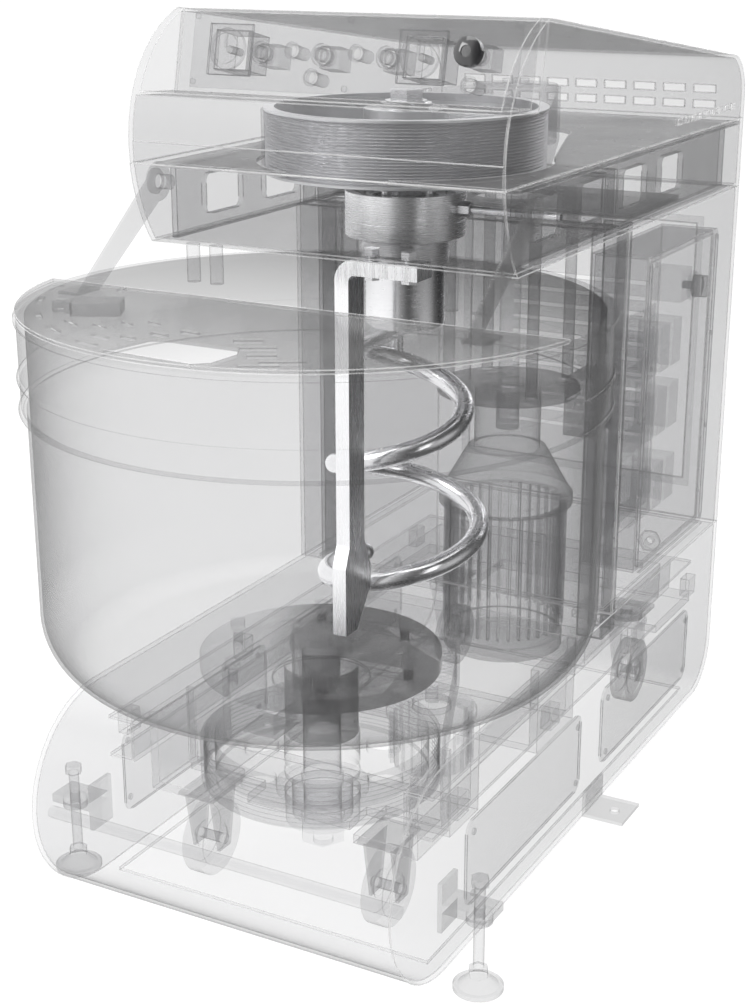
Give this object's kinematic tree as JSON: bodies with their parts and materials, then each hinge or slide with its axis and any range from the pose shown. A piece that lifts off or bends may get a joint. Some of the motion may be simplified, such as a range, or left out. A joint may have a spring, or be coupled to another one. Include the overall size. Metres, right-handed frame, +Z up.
{
  "type": "spiral dough mixer",
  "caption": "Floor-standing spiral dough mixer: see-through casing, large round bowl, steel spiral tool with straight breaker bar, belt drives inside.",
  "frame": {"origin": "centre of the bounding box on the floor the feet and wheels stand on", "axes": "+Z up, -Y to the front where the bowl is, +X to the right seen from the front"},
  "size_m": [0.75, 1.242, 1.154],
  "materials": {
    "casing": "satin",
    "panel_clear": "gloss",
    "bowl_clear": "satin",
    "lid_clear": "gloss",
    "frame_steel": "satin",
    "tool_steel": "polished",
    "machined_steel": "satin",
    "motor_cast": "cast",
    "black_plastic": "gloss",
    "grey_plastic": "satin",
    "wheel_rubber": "matte",
    "belt_rubber": "matte"
  },
  "bodies": {
    "frame": {"base_shell": "casing", "side_covers": "casing", "column_shell": "casing", "rear_panel": "casing", "head_frame": "casing", "inner_frame": "frame_steel", "deck_plate": "frame_steel", "top_cover": "casing", "control_panel": "panel_clear", "timer_bodies": "panel_clear", "button_bodies": "panel_clear", "signal_lamps": "panel_clear", "screws": "machined_steel", "cabinet_box": "casing", "cabinet_cover": "casing", "cabinet_gear": "grey_plastic", "chassis": "frame_steel", "floor_brackets": "frame_steel", "wheel_mounts": "frame_steel", "cable_gland": "black_plastic", "bowl_bearing_housing": "machined_steel", "bearings": "machined_steel", "bowl_motor": "motor_cast", "housing": "machined_steel", "housing_fittings": "machined_steel", "breaker_bar": "tool_steel", "breaker_bolts": "machined_steel", "motor_support": "motor_cast", "spiral_motor": "motor_cast", "belts": "belt_rubber", "lid_pivots": "machined_steel", "stop_pins": "frame_steel"},
    "bowl": {"bowl_shell": "bowl_clear", "turntable": "machined_steel", "bowl_bolts": "machined_steel", "bowl_shaft": "machined_steel", "bowl_drum": "machined_steel"},
    "bowl_drive": {"bowl_motor_pulley": "machined_steel"},
    "spiral": {"spiral_pulley": "machined_steel", "spiral_shaft": "tool_steel", "spiral_coil": "tool_steel", "spiral_arm": "tool_steel"},
    "spiral_drive": {"motor_pulley": "machined_steel"},
    "lid": {"lid_disc": "lid_clear", "lid_arms": "lid_clear"},
    "foot_left": {"foot_left": "frame_steel"},
    "foot_right": {"foot_right": "frame_steel"},
    "wheel_front_left": {"wheel_front_left": "wheel_rubber"},
    "wheel_front_right": {"wheel_front_right": "wheel_rubber"},
    "caster_left": {"caster_fork_left": "frame_steel"},
    "caster_right": {"caster_fork_right": "frame_steel"},
    "wheel_rear_left": {"wheel_rear_left": "wheel_rubber"},
    "wheel_rear_right": {"wheel_rear_right": "wheel_rubber"},
    "timer_knob_left": {"timer_knob_left": "grey_plastic"},
    "timer_knob_right": {"timer_knob_right": "grey_plastic"},
    "start_button": {"start_button": "grey_plastic"},
    "stop_button": {"stop_button": "grey_plastic"},
    "speed_button": {"speed_button": "grey_plastic"},
    "emergency_stop": {"emergency_stop": "black_plastic"},
    "isolator_knob": {"isolator_knob": "black_plastic"}
  },
  "joints": [
    {"name": "bowl_turn", "type": "hinge", "parent": "frame", "child": "bowl", "pos_m": [0, -0.246, 0.207], "axis": [0, 0, 1], "continuous": true},
    {"name": "bowl_motor_turn", "type": "hinge", "parent": "frame", "child": "bowl_drive", "pos_m": [0, 0.084, 0.187], "axis": [0, 0, 1], "continuous": true},
    {"name": "spiral_turn", "type": "hinge", "parent": "frame", "child": "spiral", "pos_m": [0.012, -0.032, 0.907], "axis": [0, 0, 1], "continuous": true},
    {"name": "spiral_motor_turn", "type": "hinge", "parent": "frame", "child": "spiral_drive", "pos_m": [0.012, 0.314, 0.907], "axis": [0, 0, 1], "continuous": true},
    {"name": "lid_hinge", "type": "hinge", "parent": "frame", "child": "lid", "pos_m": [0, -0.198, 0.935], "axis": [-1, 0, 0], "range_deg": [0, 62]},
    {"name": "foot_left_screw", "type": "slide", "parent": "frame", "child": "foot_left", "axis": [0, 0, -1], "range_m": [0, 0.025]},
    {"name": "foot_right_screw", "type": "slide", "parent": "frame", "child": "foot_right", "axis": [0, 0, -1], "range_m": [0, 0.025]},
    {"name": "wheel_front_left_turn", "type": "hinge", "parent": "frame", "child": "wheel_front_left", "pos_m": [-0.14, -0.314, 0.0535], "axis": [1, 0, 0], "continuous": true},
    {"name": "wheel_front_right_turn", "type": "hinge", "parent": "frame", "child": "wheel_front_right", "pos_m": [0.14, -0.314, 0.0535], "axis": [1, 0, 0], "continuous": true},
    {"name": "caster_left_swivel", "type": "hinge", "parent": "frame", "child": "caster_left", "pos_m": [-0.165, 0.474, 0.167], "axis": [0, 0, 1], "continuous": true},
    {"name": "caster_right_swivel", "type": "hinge", "parent": "frame", "child": "caster_right", "pos_m": [0.165, 0.474, 0.167], "axis": [0, 0, 1], "continuous": true},
    {"name": "wheel_rear_left_turn", "type": "hinge", "parent": "caster_left", "child": "wheel_rear_left", "pos_m": [-0.165, 0.499, 0.0535], "axis": [1, 0, 0], "continuous": true},
    {"name": "wheel_rear_right_turn", "type": "hinge", "parent": "caster_right", "child": "wheel_rear_right", "pos_m": [0.165, 0.499, 0.0535], "axis": [1, 0, 0], "continuous": true},
    {"name": "timer_left_turn", "type": "hinge", "parent": "frame", "child": "timer_knob_left", "pos_m": [-0.172, -0.16104, 1.10366], "axis": [0, 0.9752, -0.2215], "range_deg": [0, 300]},
    {"name": "timer_right_turn", "type": "hinge", "parent": "frame", "child": "timer_knob_right", "pos_m": [0.104, -0.16104, 1.10366], "axis": [0, 0.9752, -0.2215], "range_deg": [0, 300]},
    {"name": "start_press", "type": "slide", "parent": "frame", "child": "start_button", "axis": [0, 0.9752, -0.2215], "range_m": [0, 0.004], "stiffness_N_per_m": 400, "springref_m": -0.001},
    {"name": "stop_press", "type": "slide", "parent": "frame", "child": "stop_button", "axis": [0, 0.9752, -0.2215], "range_m": [0, 0.004], "stiffness_N_per_m": 400, "springref_m": -0.001},
    {"name": "speed_press", "type": "slide", "parent": "frame", "child": "speed_button", "axis": [0, 0.9752, -0.2215], "range_m": [0, 0.004], "stiffness_N_per_m": 400, "springref_m": -0.001},
    {"name": "emergency_stop_press", "type": "slide", "parent": "frame", "child": "emergency_stop", "axis": [0, 0.9752, -0.2215], "range_m": [0, 0.006], "stiffness_N_per_m": 600, "springref_m": -0.001},
    {"name": "isolator_turn", "type": "hinge", "parent": "frame", "child": "isolator_knob", "pos_m": [0.274, 0.404, 0.741], "axis": [1, 0, 0], "range_deg": [0, 90]}
  ],
  "couplings": [
    {"joint": "bowl_motor_turn", "follows": "bowl_turn", "ratio": 4.2368},
    {"joint": "spiral_motor_turn", "follows": "spiral_turn", "ratio": 3}
  ]
}
